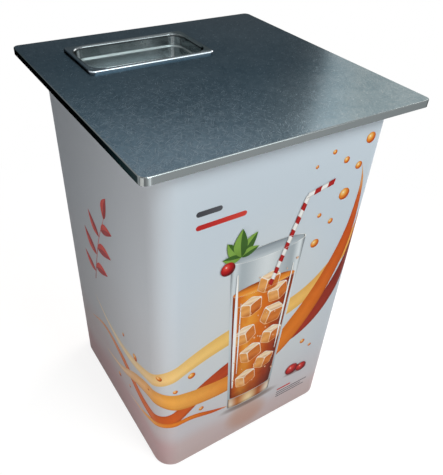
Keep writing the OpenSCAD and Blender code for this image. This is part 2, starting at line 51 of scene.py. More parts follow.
# The printed body: half sizes, corner radius, half widths of its flat faces, length of a bend
BODY_X = panel_high.x
BODY_Y = panel_high.y
BODY_R = 0.055
FLAT_X = BODY_X - BODY_R
FLAT_Y = BODY_Y - BODY_R
ARC = pi / 2 * BODY_R

# The worktop: its corners' radius and the half widths of its straight edges
TOP_R = 0.015
TOP_FLAT = (top_high.x - TOP_R, top_high.y - TOP_R)

# The pan: its rim's height and radius, its middle, half sizes and straight edges, and the basin's
RIM_Z = pan_high.z
RIM_R = 0.012
PAN_MIDDLE = ((pan_low.x + pan_high.x) / 2, (pan_low.y + pan_high.y) / 2)
PAN_HALF = ((pan_high.x - pan_low.x) / 2, (pan_high.y - pan_low.y) / 2)
PAN_FLAT = (PAN_HALF[0] - RIM_R, PAN_HALF[1] - RIM_R)
BASIN_FLAT = (0.1135, 0.039)

# The printed tumbler's middle, the heights and half widths of its foot and brim, and its wall
GLASS_S = -0.012
GLASS_Z = (0.165, 0.745)
GLASS_W = (0.076, 0.108)
GLASS_WALL = 0.008

# Height over width of the tumbler's ellipses, and the heights of the drink's bottom and surface
FLAT = 0.17
LIQUID_Z = (0.212, 0.635)

# Camera: fitted to the worktop's edges and the body's outline
PICTURE = (443, 475)
CAMERA_PLACE = Vector((-0.66, -1.0179, 1.4976))
CAMERA_YAW = radians(34.22)
CAMERA_PITCH = radians(41.01)
CAMERA_ROLL = radians(3.17)
FOCAL_PX = 525.6
CENTRE_PX = (210.4, 270.4)
SENSOR = 36.0
NEAREST = 0.05


def make_camera():
    """The photo's camera, built from its turn, pitch and roll."""
    data = bpy.data.cameras.new("camera")
    camera = bpy.data.objects.new("camera", data)
    bpy.context.scene.collection.objects.link(camera)
    long_side = max(PICTURE)
    data.sensor_width = SENSOR
    data.lens = SENSOR * FOCAL_PX / long_side
    data.shift_x = (PICTURE[0] / 2 - CENTRE_PX[0]) / long_side
    data.shift_y = (CENTRE_PX[1] - PICTURE[1] / 2) / long_side
    data.clip_start = NEAREST
    ahead = Vector((
        sin(CAMERA_YAW) * cos(CAMERA_PITCH),
        cos(CAMERA_YAW) * cos(CAMERA_PITCH),
        -sin(CAMERA_PITCH),
    ))
    level = Vector((cos(CAMERA_YAW), -sin(CAMERA_YAW), 0))
    upright = level.cross(ahead)
    right = cos(CAMERA_ROLL) * level + sin(CAMERA_ROLL) * upright
    up = cos(CAMERA_ROLL) * upright - sin(CAMERA_ROLL) * level
    turn = Matrix((right, up, -ahead)).transposed().to_4x4()
    camera.matrix_world = Matrix.Translation(CAMERA_PLACE) @ turn
    bpy.context.scene.camera = camera


# Light: a faint cool world and soft lamps
WORLD_LIGHT = 0.065
WORLD_TINT = (0.93, 0.97, 1.0)
ACROSS = (1, 0, 0)
WHITE = (1, 1, 1)
COOL = (0.945, 1.0, 0.99)
LAMPS = (
    # Name, place, aim, width and height, watts, direction of the width, colour
    ("key", (1.3, -3.4, 2.9), (0, 0, 0.6), (2.6, 2.0), 81, ACROSS, COOL),
    ("high", (0.5, -2.6, 3.45), (0, -0.3, 0.6), (1.1, 1.1), 49, ACROSS, COOL),
    ("fill", (1.6, -2.6, 0.5), (0.1, -0.3, 0.3), (1.0, 0.6), 5, ACROSS, WHITE),
    ("left", (-0.8, -0.5, 0.55), (-0.3, -0.38, 0.55), (0.4, 1.1), 2.9, ACROSS, (1.0, 0.93, 0.87)),
    ("rear", (0.0, 4.5, 0.42), (0, 0.3, 0.5), (1.0, 0.7), 54, ACROSS, WHITE),
    # These four lay the sheen on the steel
    ("strip", (0.7, 1.87, 3.51), (0, 0, 1.05), (3.1, 0.5), 16, (3.9, -0.34, -1.88), (1.0, 0.86, 0.77)),
    ("side", (2.33, 0.97, 2.03), (0.25, -0.2, 1.05), (1.44, 1.46), 72, (0.58, -0.82, 0), (1.0, 0.9, 0.84)),
    ("veil", (1.17, 1.9, 2.6), (-0.15, -0.3, 1.05), (2.1, 0.52), 7.8, (1, -0.6, 0), WHITE),
    ("above", (-0.2, -0.5, 3.6), (-0.1, 0.0, 1.05), (1.2, 0.7), 14.5, ACROSS, WHITE),
)


def make_world():
    """Pure white to the camera, in reflections and through glass, and a faint light to all else."""
    world = bpy.data.worlds.new("studio")
    bpy.context.scene.world = world
    world.use_nodes = True
    nodes, links = world.node_tree.nodes, world.node_tree.links
    nodes.clear()
    rays = nodes.new("ShaderNodeLightPath").outputs
    seen = rays["Is Camera Ray"]
    for kind in ("Is Glossy Ray", "Is Transmission Ray"):
        either = nodes.new("ShaderNodeMath")
        either.operation = "MAXIMUM"
        links.new(seen, either.inputs[0])
        links.new(rays[kind], either.inputs[1])
        seen = either.outputs[0]
    mix = nodes.new("ShaderNodeMixShader")
    links.new(seen, mix.inputs[0])
    for colour, strength, socket in (
        (WORLD_TINT, WORLD_LIGHT, mix.inputs[1]), (WHITE, 1.0, mix.inputs[2]),
    ):
        light = nodes.new("ShaderNodeBackground")
        light.inputs["Color"].default_value = (*colour, 1)
        light.inputs["Strength"].default_value = strength
        links.new(light.outputs[0], socket)
    links.new(mix.outputs[0], nodes.new("ShaderNodeOutputWorld").inputs["Surface"])


def soft_lamp(name, place, aim, size, watts, along, colour):
    """A rectangular lamp that faces its aim, with its width as near as can be to one direction."""
    data = bpy.data.lights.new(name, "AREA")
    data.shape = "RECTANGLE"
    data.size, data.size_y = size
    data.energy = watts
    data.color = colour
    lamp = bpy.data.objects.new(name, data)
    back = (Vector(place) - Vector(aim)).normalized()
    wide = (Vector(along) - back * back.dot(Vector(along))).normalized()
    turn = Matrix((wide, back.cross(wide), back)).transposed().to_4x4()
    lamp.matrix_world = Matrix.Translation(place) @ turn
    bpy.context.scene.collection.objects.link(lamp)


# Half height of a box that is measured in plan only
ABOVE_ALL = 5


class Shader:
    """Builds the node tree of one material on a Principled BSDF."""

    def __init__(self, name, base, roughness, metallic=0.0):
        self.material = bpy.data.materials.new(name)
        self.material.use_nodes = True
        self.tree = self.material.node_tree
        self.bsdf = self.tree.nodes["Principled BSDF"]
        self.set("Base Color", (*base, 1))
        self.set("Roughness", roughness)
        self.set("Metallic", metallic)
        self.material.diffuse_color = (*base, 1)

    def set(self, socket, value):
        self.bsdf.inputs[socket].default_value = value

    def node(self, kind, values=(), **settings):
        """A node with its settings, and with fixed values on some of its sockets."""
        node = self.tree.nodes.new("ShaderNode" + kind)
        for key, value in settings.items():
            setattr(node, key, value)
        for socket, value in dict(values).items():
            node.inputs[socket].default_value = value
        return node

    def link(self, source, target):
        if isinstance(target, str):
            target = self.bsdf.inputs[target]
        self.tree.links.new(source, target)

    def place(self, kind="Object"):
        return self.node("TexCoord").outputs[kind]

    def axes(self, source):
        """The three parts of a vector."""
        split = self.node("SeparateXYZ")
        self.link(source, split.inputs[0])
        return split.outputs["X"], split.outputs["Y"], split.outputs["Z"]

    def mapped(self, source, scale, turn=0.0, move=0.0):
        """Coordinates turned about Z first, then scaled along the turned axes."""
        sizes = [1 / s for s in scale]
        mapping = self.node(
            "Mapping", {"Scale": sizes, "Rotation": (0, 0, turn), "Location": (move, 0, 0)},
            vector_type="TEXTURE",
        )
        self.link(source, mapping.inputs["Vector"])
        return mapping.outputs[0]

    def noise(self, source, scale, detail, rough=0.5, warp=0.0):
        noise = self.node(
            "TexNoise", {"Scale": scale, "Detail": detail, "Roughness": rough, "Distortion": warp},
        )
        self.link(source, noise.inputs["Vector"])
        return noise.outputs["Fac"]

    def span(self, source, low, high, to_low=0.0, to_high=1.0, easing="LINEAR"):
        """Maps low to high onto to_low to to_high, and holds the ends."""
        ends = {"From Min": low, "From Max": high, "To Min": to_low, "To Max": to_high}
        ranged = self.node("MapRange", ends, interpolation_type=easing)
        self.link(source, ranged.inputs["Value"])
        return ranged.outputs[0]

    def ramp(self, source, stops):
        """Eased run of colours through stops of (place, red, green, blue)."""
        node = self.node("ValToRGB")
        ramp = node.color_ramp
        ramp.interpolation = "EASE"
        while len(ramp.elements) < len(stops):
            ramp.elements.new(0.5)
        for element, (at, *colour) in zip(ramp.elements, stops):
            element.position = at
            element.color = (*colour, 1)
        self.link(source, node.inputs["Fac"])
        return node.outputs["Color"]

    def feed(self, value, socket):
        """Links an output to a socket, or sets a number or a colour on it."""
        if isinstance(value, bpy.types.NodeSocket):
            self.link(value, socket)
        else:
            socket.default_value = (*value, 1) if isinstance(value, tuple) else value

    def mix(self, factor, one, two, blend="MIX"):
        mix = self.node("Mix", data_type="RGBA", blend_type=blend)
        for value, index in ((factor, 0), (one, 6), (two, 7)):
            self.feed(value, mix.inputs[index])
        return mix.outputs[2]

    def tinted(self, tone, tint):
        """One colour multiplied by another."""
        return self.mix(1.0, tone, tint, "MULTIPLY")

    def maths(self, operation, one, two=0.0):
        node = self.node("Math", operation=operation)
        self.feed(one, node.inputs[0])
        self.feed(two, node.inputs[1])
        return node.outputs[0]

    def plus(self, one, two):
        return self.maths("ADD", one, two)

    def minus(self, one, two):
        return self.maths("SUBTRACT", one, two)

    def times(self, one, two):
        return self.maths("MULTIPLY", one, two)

    def off(self, value, middle):
        """How far a value lies from the middle, to either side."""
        return self.maths("ABSOLUTE", self.minus(value, middle))

    def vector(self, operation, source, operand=(0, 0, 0), result="Vector"):
        node = self.node("VectorMath", {1: operand}, operation=operation)
        self.link(source, node.inputs[0])
        return node.outputs[result]

    def reach(self, source, middle, half):
        """Distance in plan out from a box, given by its middle and half sizes."""
        off = self.vector("ABSOLUTE", self.vector("SUBTRACT", source, (*middle, 0)))
        out = self.vector("MAXIMUM", self.vector("SUBTRACT", off, (*half, ABOVE_ALL)))
        return self.vector("LENGTH", out, result="Value")

    def corner_turn(self, source, middle, flat):
        """Angle about a rounded rectangle's corner: 0 at its side and a quarter turn at its front."""
        x, y, _ = self.axes(source)
        across = self.minus(self.off(x, middle[0]), flat[0])
        along = self.minus(self.off(y, middle[1]), flat[1])
        return self.maths("ARCTAN2", along, across)

    def blend(self, factor, one, two):
        """Mixes two shaders, where mix mixes colours."""
        mix = self.node("MixShader")
        for source, socket in zip((factor, one, two), mix.inputs):
            self.link(source, socket)
        return mix.outputs[0]

    def glow(self, strength):
        """A shader that gives white light."""
        return self.node("Emission", {"Color": (*WHITE, 1), "Strength": strength}).outputs[0]

    def bump(self, height, distance, strength):
        bump = self.node("Bump", {"Distance": distance, "Strength": strength})
        self.link(height, bump.inputs["Height"])
        self.link(bump.outputs[0], "Normal")


# Specular level of the printed film and its inks
FILM_GLOSS = 0.1

# The worktop's grain, its scratches' directions in degrees, and how fine they are along and across
GRAIN_TURN = radians(56)
SCRATCH_TURNS = (8, 37, 61, 98, 127, 156)
SCRATCH_PITCH = (32, 480, 480)

# Upright part of the normal where a fold begins and where a face counts as level
LEVEL_FACE = (0.975, 0.995)

# The worktop's wear, painted stronger about the front left where its scratches catch the light: that
# area's middle and half size, how far it runs out, and the strength far off and within
LIT_WEAR_MIDDLE = (-0.26, -0.26)
LIT_WEAR_HALF = (0.08, 0.08)
LIT_WEAR_REACH = 0.24
LIT_WEAR_STRENGTH = (0.5, 1.1)

# The worktop's less blue front right, a painted warm tint of its sheen, between two values of x - y
SHEEN_SPAN = (0.17, 0.48)

# Tone of the folded edges, and the painted reflection bands about the left corners, by angle in degrees
# from the side
EDGE_SHADE = 0.435
PAINTED_CORNER_REFLECTION = (
    (0, 0.33), (18, EDGE_SHADE), (30, 0.25), (46, 0.25), (52, 0.33), (60, 0.24), (74, 0.36),
    (88, 0.75), (96, 1.0), (104, 0.6), (112, EDGE_SHADE),
)

# Linear tones of the worktop's steel. The mottle, the sheen and the fold multiply other tones
# The sheen is a painted warm tint, and the fold a painted lighter tone than the face
TOP_TONES = {
    "dark": (0.05, 0.072, 0.089), "light": (0.062, 0.086, 0.104), "fleck": (0.125, 0.15, 0.165),
    "scratch": (0.15, 0.18, 0.2), "mottle": (0.7, 0.7, 0.71), "sheen": (0.965, 0.845, 0.75),
    "fold": (0.53, 0.587, 0.598),
}

# Depths below the pan's rim where each zone begins and where it is full
RIM_DEPTH = (0.004, 0.003)
LIP_DEPTH = (0.008, 0.005)
STEP_TOP = (0.025, 0.0275)
STEP_FOOT = (0.0345, 0.032)
FLOOR_DEPTH = (0.058, 0.064)

# Distances in from the pan's outline, its ends, its right end and its front, likewise
BEAD_IN = (0.0028, 0.0022)
BEAD_END = (0.006, 0.003)
RIGHT_END = (0.032, 0.022)
FRONT_EDGE = (0.006, 0.016)

# Angle of the painted highlight streak in each corner of the basin, and its half width where it ends and
# is full
CORNER_STREAK_ANGLE = radians(61)
CORNER_STREAK_WIDTH = (0.16, 0.08)

# Linear tones of the pan's steel, most of them painted light and shade, and what its walls are multiplied
# by: painted shade at the left and painted light at the right
PAN_TONES = {
    "wall": (0.25, 0.283, 0.292), "haze": (0.298, 0.335, 0.344), "corner_streak": (0.93, 0.96, 0.97),
    "lip": (0.14, 0.157, 0.165), "shaded_right_lip": (0.075, 0.088, 0.092), "bead": (0.45, 0.5, 0.55),
    "shaded_bead_ends": (0.07, 0.085, 0.095), "floor": (0.395, 0.445, 0.465), "step": (0.17, 0.2, 0.205),
    "shaded_rim_left": (0.06, 0.078, 0.09), "lit_rim_right": (0.15, 0.18, 0.19), "shaded_rim_end": (0.065, 0.083, 0.09),
}
PAN_WALL_SHADING = ((0.8, 0.8, 0.8), (1.4, 1.4, 1.4))

# Tones of the steel at a grazing angle: on folds and walls, on the worktop and on the pan's rim
NO_GRAZE = (0, 0, 0)
TOP_GRAZE = (0.385, 0.385, 0.385)
RIM_GRAZE = (0.4, 0.4, 0.4)

# The print's ground, as heights with linear tones: grey above, pink at the foot of front and flank
GROUND = ((0.34, 0.585, 0.615, 0.665), (0.8, 0.58, 0.64, 0.71))
FRONT_FOOT = ((0.02, 0.588, 0.45, 0.443), (0.08, 0.6, 0.473, 0.472), (0.17, 0.605, 0.57, 0.6))
FLANK_FOOT = ((0.02, 0.58, 0.405, 0.42), (0.08, 0.585, 0.405, 0.425), (0.17, 0.605, 0.54, 0.565))
BARE_SHEET = (0.7, 0.71, 0.72)

# Where the front and the flanks begin and are full, in y and in x
FRONT_SPAN = (-BODY_Y + 0.03, -BODY_Y + 0.01)
FLANK_SPAN = (FLAT_X, BODY_X - 0.01)

# Where the print ends towards the sheet's inside, its cut ends and its rear, from none to full
OUTER_FACE = (BODY_R - 0.0012, BODY_R - 0.0008)
PAST_ENDS = (FLAT_X - 0.0025, FLAT_X - 0.0015)
BEFORE_REAR = (BODY_Y - 0.001, BODY_Y - 0.002)

# Soft round patches on the front: middle, reach, strength and tone
PATCHES = (
    # The light behind the glass, and its stain below
    ((GLASS_S, 0.47), (0.29, 0.46), 0.45, (0.7, 0.7, 0.69)),
    ((GLASS_S, 0.085), (0.095, 0.085), 0.5, (0.5, 0.2, 0.085)),
    # The shadows under the glass and the berries
    ((GLASS_S + 0.006, 0.148), (0.125, 0.022), 0.8, (0.16, 0.1, 0.08)),
    ((0.168, 0.176), (0.055, 0.011), 0.7, (0.2, 0.12, 0.11)),
)


def scratches(shader, where, angles, pitch, cut, edge=0.07, move=3.1):
    """Fine straight scratches in several directions: 1 on a scratch and 0 between them."""
    total = None
    for index, angle in enumerate(angles):
        lines = shader.mapped(where, pitch, radians(angle), index * move)
        fine = shader.noise(lines, 1.0, 1.0, 0.4)
        one = shader.span(fine, cut, cut + edge)
        total = one if total is None else shader.maths("MAXIMUM", total, one)
    return total


def level_faces(shader):
    """1 on faces that lie level, 0 on folds, rolls and walls."""
    _, _, upright = shader.axes(shader.place("Normal"))
    return shader.span(shader.maths("ABSOLUTE", upright), *LEVEL_FACE)


def worktop_steel():
    """Linished stainless: a mottled, finely scratched dark face whose wear is painted stronger about the
    front left, where it catches the light, a painted warm tint of the sheen at the front right, and folded
    edges painted brighter, with painted reflection bands about the left corners.
    """
    s = Shader("worktop_steel", (0.06, 0.08, 0.095), 0.3, 1.0)
    tones = TOP_TONES
    where = s.place()
    x, y, _ = s.axes(where)
    cloud = s.noise(where, 7.0, 3.0, 0.55)
    grain = s.mapped(where, (0.5, 1.0, 1.0), GRAIN_TURN)
    mottle = s.noise(grain, 120.0, 3.0, 0.65, 1.4)
    flecks = s.noise(grain, 420.0, 2.0, 0.6, 1.0)
    # Wear marks painted stronger about the front left, where they catch the light
    wear_and_glint = s.span(s.reach(where, LIT_WEAR_MIDDLE, LIT_WEAR_HALF), LIT_WEAR_REACH, 0.0, *LIT_WEAR_STRENGTH)
    shade = s.times(s.span(mottle, 0.68, 0.32), wear_and_glint)
    raised = s.times(s.span(flecks, 0.5, 0.75), wear_and_glint)
    lines = s.times(scratches(s, where, SCRATCH_TURNS, SCRATCH_PITCH, 0.64), wear_and_glint)

    tone = s.mix(s.span(cloud, 0.3, 0.7), tones["dark"], tones["light"])
    tone = s.mix(shade, tone, s.tinted(tone, tones["mottle"]))
    tone = s.mix(s.times(raised, 0.2), tone, tones["fleck"])
    tone = s.mix(s.times(lines, 0.22), tone, tones["scratch"])
    # Painted warm tint where the sheen falls at the front right
    tone = s.mix(s.span(s.minus(x, y), *SHEEN_SPAN), tone, s.tinted(tone, tones["sheen"]))
    # Painted reflection bands about the left corners of the folded edge, over a painted lighter tone on
    # all folds
    turn = s.maths("DIVIDE", s.corner_turn(where, (0, 0), TOP_FLAT), pi)
    corner_reflection = s.ramp(turn, [(at / 180, v, v, v) for at, v in PAINTED_CORNER_REFLECTION])
    corner_reflection = s.mix(s.span(x, 0.0, 0.01), corner_reflection, (EDGE_SHADE,) * 3)
    level = level_faces(s)
    s.link(s.mix(level, s.tinted(corner_reflection, tones["fold"]), tone), "Base Color")
    s.link(s.mix(level, NO_GRAZE, TOP_GRAZE), "Specular Tint")

    worn = s.plus(s.times(raised, 0.04), s.times(lines, 0.07))
    rough = s.plus(s.minus(0.235, s.times(shade, 0.045)), worn)
    s.link(s.times(rough, s.span(level, 0.0, 1.0, 0.5, 1.0)), "Roughness")
    relief = s.times(s.plus(flecks, s.times(mottle, 2.5)), wear_and_glint)
    s.bump(s.minus(relief, s.times(lines, 0.4)), 0.00002, 0.5)
    return s.material


def pan_steel():
    """Pressed stainless with a faint draw haze and a duller step, and painted light and shade on its
    walls, lip, bead, floor, step and rim, with painted highlight streaks in the basin's corners.
    """
    s = Shader("pan_steel", (0.4, 0.42, 0.42), 0.2, 1.0)
    tones = PAN_TONES
    where = s.place()
    x, y, height = s.axes(where)
    haze = s.noise(where, 22.0, 3.0, 0.6)
    below = s.minus(RIM_Z, height)
    side = s.span(x, pan_low.x, pan_high.x)
    behind = s.span(s.minus(y, pan_low.y), *FRONT_EDGE)
    right = s.times(s.span(s.minus(pan_high.x, x), *RIGHT_END), behind)
    ends = s.times(s.span(s.minus(PAN_HALF[0], s.off(x, PAN_MIDDLE[0])), *BEAD_END), behind)
    streak = s.span(s.off(s.corner_turn(where, PAN_MIDDLE, BASIN_FLAT), CORNER_STREAK_ANGLE), *CORNER_STREAK_WIDTH)
    rim = s.times(level_faces(s), s.span(below, *RIM_DEPTH))
    bead = s.span(s.minus(RIM_R, s.reach(where, PAN_MIDDLE, PAN_FLAT)), *BEAD_IN)
    step = s.times(s.span(below, *STEP_TOP), s.span(below, *STEP_FOOT))
    floor = s.span(below, *FLOOR_DEPTH)

    tone = s.mix(s.span(haze, 0.3, 0.75), tones["wall"], tones["haze"])
    # Painted highlight streaks in the basin's corners
    tone = s.mix(streak, tone, tones["corner_streak"])
    # Walls painted darker at the left and lighter at the right
    tone = s.tinted(tone, s.mix(side, *PAN_WALL_SHADING))
    # Painted shade on the lip below the rim, darker still at the right end
    tone = s.mix(s.span(below, *LIP_DEPTH), tone, s.mix(right, tones["lip"], tones["shaded_right_lip"]))
    # Bead painted brighter at the front and back as a highlight, and painted dark at its ends
    tone = s.mix(bead, tone, s.mix(ends, tones["bead"], tones["shaded_bead_ends"]))
    # Floor of the basin painted lighter
    tone = s.mix(floor, tone, tones["floor"])
    # Painted shade on the step, which is also rougher
    tone = s.mix(step, tone, tones["step"])
    # Rim painted dark at the left, lighter towards the right and dark again at its right end
    flat = s.mix(right, s.mix(side, tones["shaded_rim_left"], tones["lit_rim_right"]), tones["shaded_rim_end"])
    s.link(s.mix(rim, tone, flat), "Base Color")
    s.link(s.mix(rim, NO_GRAZE, RIM_GRAZE), "Specular Tint")

    dull = s.maths("MAXIMUM", step, s.times(floor, 0.7))
    s.link(s.plus(s.span(haze, 0.3, 0.7, 0.2, 0.28), s.times(dull, 0.2)), "Roughness")
    s.bump(haze, 0.0001, 0.3)
    return s.material


def printed_sheet():
    """White sheet with a satin print on its outer face: pale cool grey, and pink at the foot."""
    s = Shader("printed_sheet", (0.62, 0.655, 0.69), 0.42)
    s.set("Specular IOR Level", FILM_GLOSS)
    where = s.place()
    x, y, height = s.axes(where)
    wide = s.maths("ABSOLUTE", x)
    level = s.plus(height, s.span(s.noise(where, 2.2, 2.0), 0.3, 0.7, -0.03, 0.03))
    flank = s.span(wide, *FLANK_SPAN)
    tone = s.mix(flank, s.ramp(level, FRONT_FOOT + GROUND), s.ramp(level, FLANK_FOOT + GROUND))
    front = s.span(y, *FRONT_SPAN)
    for middle, reach, strength, colour in PATCHES:
        across = s.maths("DIVIDE", s.minus(x, middle[0]), reach[0])
        up = s.maths("DIVIDE", s.minus(height, middle[1]), reach[1])
        far = s.plus(s.maths("POWER", across, 2.0), s.maths("POWER", up, 2.0))
        patch = s.times(s.span(far, 1.0, 0.0, easing="SMOOTHERSTEP"), strength)
        tone = s.mix(s.times(patch, front), tone, colour)

    # Only the outer face is printed, and neither the sheet's cut ends nor its inside
    outside = s.span(s.reach(where, (0, 0), (FLAT_X, FLAT_Y)), *OUTER_FACE)
    not_cut = s.maths("MAXIMUM", s.span(wide, *PAST_ENDS), s.span(y, *BEFORE_REAR))
    printed = s.times(outside, not_cut)
    s.link(s.mix(printed, BARE_SHEET, tone), "Base Color")
    grain = s.noise(where, 1400.0, 2.0, 0.6)
    peel = s.noise(where, 90.0, 2.0, 0.5)
    s.link(s.span(peel, 0.3, 0.7, 0.5, 0.58), "Roughness")
    s.bump(s.plus(grain, s.times(peel, 0.8)), 0.00006, 0.25)
    return s.material


def plain_plastic(name, base, roughness, grain=700.0):
    """Moulded or faced plastic, a little darker and duller in patches."""
    s = Shader(name, base, roughness)
    where = s.place()
    fine = s.noise(where, grain, 2.0, 0.6)
    wear_and_glint = s.noise(where, 14.0, 3.0, 0.6)
    darker = tuple(0.95 * c for c in base)
    s.link(s.mix(s.span(wear_and_glint, 0.4, 0.8), base, darker), "Base Color")
    s.link(s.span(wear_and_glint, 0.3, 0.7, roughness - 0.05, roughness + 0.07), "Roughness")
    s.bump(fine, 0.00008, 0.35)
    return s.material


def wood(name, light, dark, along, ring_scale):
    """Planed wood: grain lines run along one axis, with finer pores between them."""
    s = Shader(name, light, 0.55)
    where = s.place()
    stretch = tuple(ring_scale * (0.06 if axis == along else 1.0) for axis in range(3))
    rings = s.noise(s.mapped(where, stretch), 1.0, 4.0, 0.6, 0.6)
    pores = s.noise(s.mapped(where, tuple(14 * v for v in stretch)), 1.0, 2.0, 0.5)
    tone = s.mix(s.span(rings, 0.35, 0.7), light, dark)
    tone = s.mix(s.span(pores, 0.55, 0.75, 0.0, 0.4), tone, tuple(0.6 * c for c in dark))
    s.link(tone, "Base Color")
    s.bump(s.plus(rings, pores), 0.00015, 0.4)
    return s.material


def plated_steel():
    """Zinc plate with a fine bloom."""
    s = Shader("zinc_steel", (0.6, 0.61, 0.59), 0.32, 1.0)
    bloom = s.noise(s.place(), 160.0, 3.0, 0.6)
    s.link(s.mix(s.span(bloom, 0.3, 0.7), (0.52, 0.53, 0.52), (0.68, 0.68, 0.64)), "Base Color")
    s.link(s.span(bloom, 0.3, 0.7, 0.26, 0.42), "Roughness")
    s.bump(bloom, 0.00004, 0.4)
    return s.material


def drawn_aluminium():
    """Mill aluminium with lines along the tube."""
    s = Shader("aluminium_tube", (0.68, 0.69, 0.7), 0.34, 1.0)
    lines = s.noise(s.mapped(s.place(), (900, 900, 9)), 1.0, 2.0, 0.6)
    s.link(s.mix(s.span(lines, 0.3, 0.7), (0.6, 0.61, 0.62), (0.74, 0.75, 0.76)), "Base Color")
    s.link(s.span(lines, 0.3, 0.7, 0.28, 0.42), "Roughness")
    s.bump(lines, 0.00003, 0.4)
    return s.material


FINISHES = {
    "worktop_steel": worktop_steel(),
    "pan_steel": pan_steel(),
    "printed_panel": printed_sheet(),
    "door_board": plain_plastic("door_white", (0.68, 0.695, 0.71), 0.36),
    "white_board": plain_plastic("melamine_white", (0.7, 0.7, 0.68), 0.42, 350.0),
    "plywood": wood("plywood", (0.62, 0.46, 0.29), (0.47, 0.32, 0.18), 0, 60.0),
    "pine": wood("pine", (0.7, 0.54, 0.34), (0.56, 0.38, 0.2), 2, 110.0),
    "aluminium_tube": drawn_aluminium(),
    "zinc_steel": plated_steel(),
    "black_nylon": plain_plastic("black_nylon", (0.022, 0.022, 0.024), 0.45),
}

# Angles below which faces are shaded as one and above which edges are eased, and the eased widths
SMOOTH_BELOW = radians(32)
EASE_ABOVE = radians(60)
WELD = 1e-6
EASED_EDGES = {
    "door_panel": 0.0012, "shelf": 0.001, "base_board": 0.0006, "top_frame": 0.0006,
    "stile_left": 0.0008, "stile_right": 0.0008, "latch_cam": 0.0003,
}


def dress_frame():
    """Gives every CAD node its finish, and smooth shading over its round faces."""
    slot_of = {part["node"]: part["material_slot"] for part in frame["record"]["subparts"]}
    for name, node in frame["nodes"].items():
        node.data.materials.clear()
        node.data.materials.append(FINISHES[slot_of[name]])
        weld = node.modifiers.new("weld", "WELD")
        weld.merge_threshold = WELD
        if name in EASED_EDGES:
            bevel = node.modifiers.new("eased", "BEVEL")
            bevel.width = EASED_EDGES[name]
            bevel.segments = 2
            bevel.limit_method = "ANGLE"
            bevel.angle_limit = EASE_ABOVE
        split = node.modifiers.new("edges", "EDGE_SPLIT")
        split.split_angle = SMOOTH_BELOW
        node.modifiers.new("flats", "WEIGHTED_NORMAL")
        node.data.polygons.foreach_set("use_smooth", [True] * len(node.data.polygons))


# Printed motifs: thin shapes a fraction of a millimetre outside the panel, each in its own ink

# A layer's height, the cuts over each bend, a disc's sides, and how near two points are one
LAYER = 0.00004
BEND_CUTS = 24
DISC_SIDES = 36
SAME_POINT = 1e-7


def linear(*levels):
    """Linear colour of an ink given by values of 0 to 255."""
    values = []
    for level in levels:
        c = level / 255
        values.append(c / 12.92 if c <= 0.04045 else ((c + 0.055) / 1.055) ** 2.4)
    return tuple(values)


def paints(stops):
    """Linear stops of a ramp from stops with values of 0 to 255."""
    return tuple((at, *linear(*colour)) for at, *colour in stops)


def on_body(s, z, out):
    """Point s metres round the body from the middle of its front, at height z, out from its face."""
    side = 1 if s >= 0 else -1
    s = abs(s)
    if s <= FLAT_X:
        x, y = s, -BODY_Y - out
    elif s <= FLAT_X + ARC:
        turn = (s - FLAT_X) / BODY_R
        x = FLAT_X + (BODY_R + out) * sin(turn)
        y = -FLAT_Y - (BODY_R + out) * cos(turn)
    else:
        x, y = BODY_X + out, -FLAT_Y + s - FLAT_X - ARC
    return side * x, y, z


def ink(name, across=None, up=None, spot=None, rings=None, shade=None, flow=0.0):
    """Satin ink: stops of 0 to 255 across a shape, up it or in rings round a spot, and a shade up it."""
    s = Shader("ink_" + name, (0.5, 0.3, 0.1), 0.4)
    s.set("Specular IOR Level", FILM_GLOSS)
    uv = s.place("UV")
    where = s.place()
    u, v, _ = s.axes(uv)
    if flow:
        drift = s.span(s.noise(where, 14.0, 3.0, 0.6, 1.2), 0.25, 0.75, -flow, flow)
        u = s.plus(u, drift)
        v = s.plus(v, drift)
    if across:
        colour = s.ramp(u, paints(across))
    elif up:
        colour = s.ramp(v, paints(up))
    else:
        colour = s.ramp(s.vector("DISTANCE", uv, (*spot, 0), "Value"), paints(rings))
    if shade:
        colour = s.tinted(colour, s.ramp(v, shade))
    grain = s.noise(where, 1100.0, 2.0, 0.6)
    speck = s.ramp(grain, ((0.3, 0.9, 0.9, 0.9), (0.7, 1.0, 1.0, 1.0)))
    s.link(s.tinted(colour, speck), "Base Color")
    peel = s.noise(where, 90.0, 2.0, 0.5)
    s.link(s.span(peel, 0.3, 0.7, 0.48, 0.56), "Roughness")
    s.bump(s.plus(grain, peel), 0.00005, 0.25)
    return s.material


